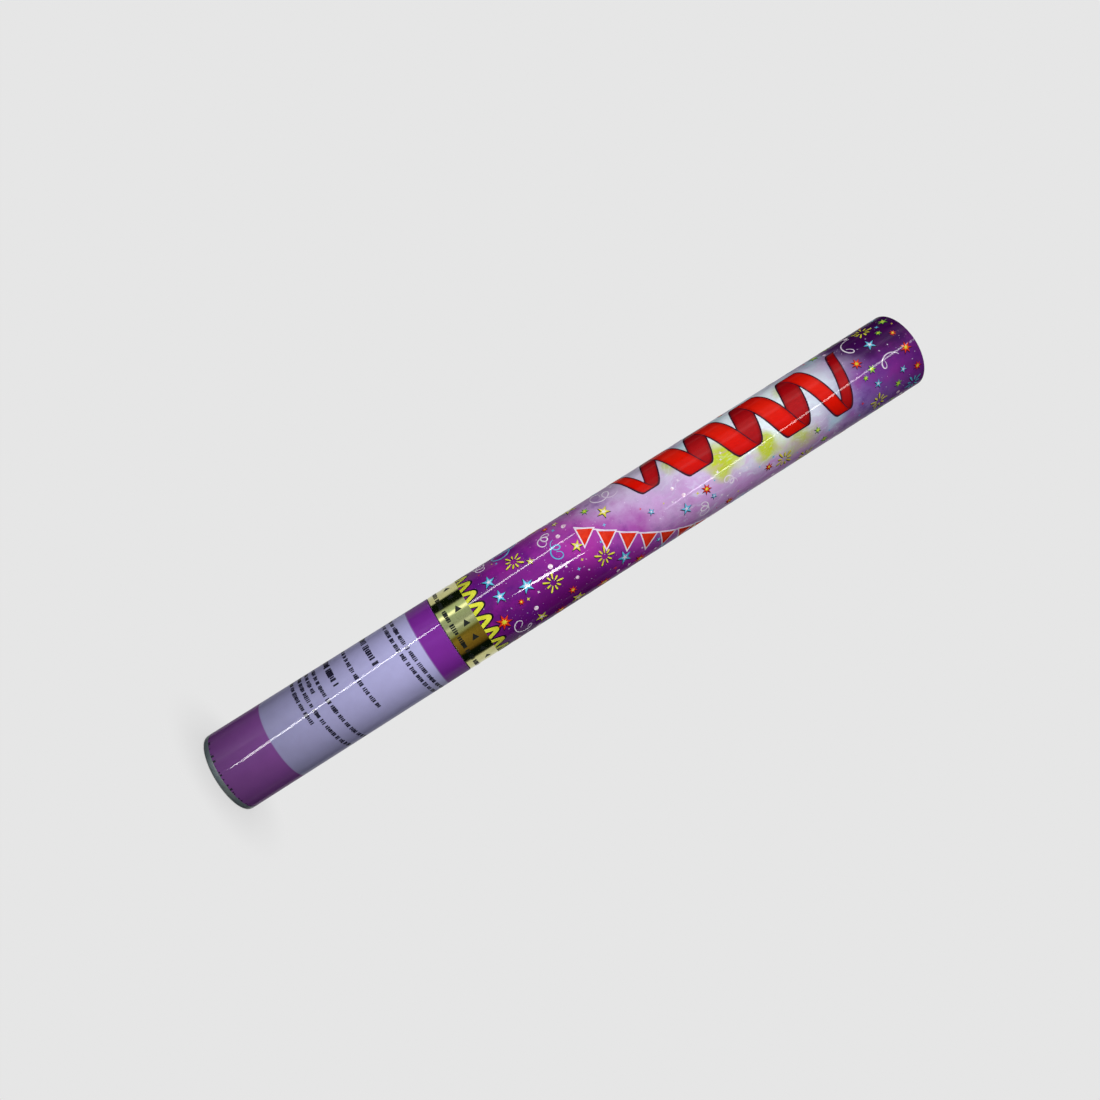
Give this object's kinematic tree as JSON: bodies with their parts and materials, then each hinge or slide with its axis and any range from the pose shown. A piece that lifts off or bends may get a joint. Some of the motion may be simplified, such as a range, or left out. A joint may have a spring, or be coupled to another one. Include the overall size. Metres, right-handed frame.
{
  "type": "confetti popper",
  "caption": "Twist-fired confetti popper: a printed board tube whose barrel turns on an air-filled handle to draw a plug and blow paper confetti from the muzzle.",
  "frame": {"origin": "middle of the base that it stands on", "axes": "+Z along the tube from the base to the muzzle"},
  "size_m": [0.0514, 0.0514, 0.5],
  "materials": {
    "handle_print": "printed wrap with a gloss film",
    "barrel_print": "printed wrap with a gloss film",
    "gold_film": "metallised gold film",
    "board": "spiral-wound board",
    "cap_plastic": "moulded, satin",
    "bottle_plastic": "blown, milky",
    "valve_plastic": "moulded",
    "seal_rubber": "matt",
    "head_plastic": "moulded",
    "washer_plastic": "smooth",
    "spring_steel": "bright",
    "sleeve_plastic": "moulded",
    "plug_plastic": "moulded",
    "pin_steel": "ground",
    "wad_card": "pressed card",
    "lid_card": "pressed card",
    "confetti_red": "tissue and foil slips",
    "confetti_yellow": "tissue and foil slips",
    "confetti_blue": "tissue and foil slips",
    "confetti_green": "tissue and foil slips",
    "confetti_pink": "tissue and foil slips"
  },
  "bodies": {
    "handle": {"base_cap": "cap_plastic", "handle_tube": "board", "handle_wrap": "handle_print", "air_bottle": "bottle_plastic", "fill_valve_body": "valve_plastic", "fill_valve_flap": "seal_rubber", "bottle_head": "head_plastic", "thrust_washer": "washer_plastic", "retaining_ring": "spring_steel"},
    "barrel": {"barrel_tube": "board", "barrel_wrap": "barrel_print", "foil_band": "gold_film", "cam_sleeve": "sleeve_plastic"},
    "plug": {"release_plug": "plug_plastic", "plug_seal": "seal_rubber", "cross_pin": "pin_steel"},
    "charge": {"wad": "wad_card", "confetti_layer_1": "confetti_red", "confetti_layer_2": "confetti_yellow", "confetti_layer_3": "confetti_blue", "confetti_layer_4": "confetti_green", "confetti_layer_5": "confetti_pink"},
    "lid": {"muzzle_lid": "lid_card"}
  },
  "joints": [
    {"name": "barrel_twist", "type": "hinge", "parent": "handle", "child": "barrel", "pos_m": [0, 0, 0.1558], "axis": [0, 0, -1], "range_deg": [0, 90]},
    {"name": "plug_lift", "type": "slide", "parent": "handle", "child": "plug", "axis": [0, 0, 1], "range_m": [0, 0.006]},
    {"name": "charge_launch", "type": "slide", "parent": "barrel", "child": "charge", "axis": [0, 0, 1], "range_m": [0, 0.35]},
    {"name": "lid_pop", "type": "slide", "parent": "barrel", "child": "lid", "axis": [0, 0, 1], "range_m": [0, 0.455]}
  ],
  "couplings": [
    {"joint": "plug_lift", "follows": "barrel_twist", "m_per_rad": 0.0038197},
    {"joint": "lid_pop", "follows": "charge_launch", "ratio": 1.3}
  ]
}
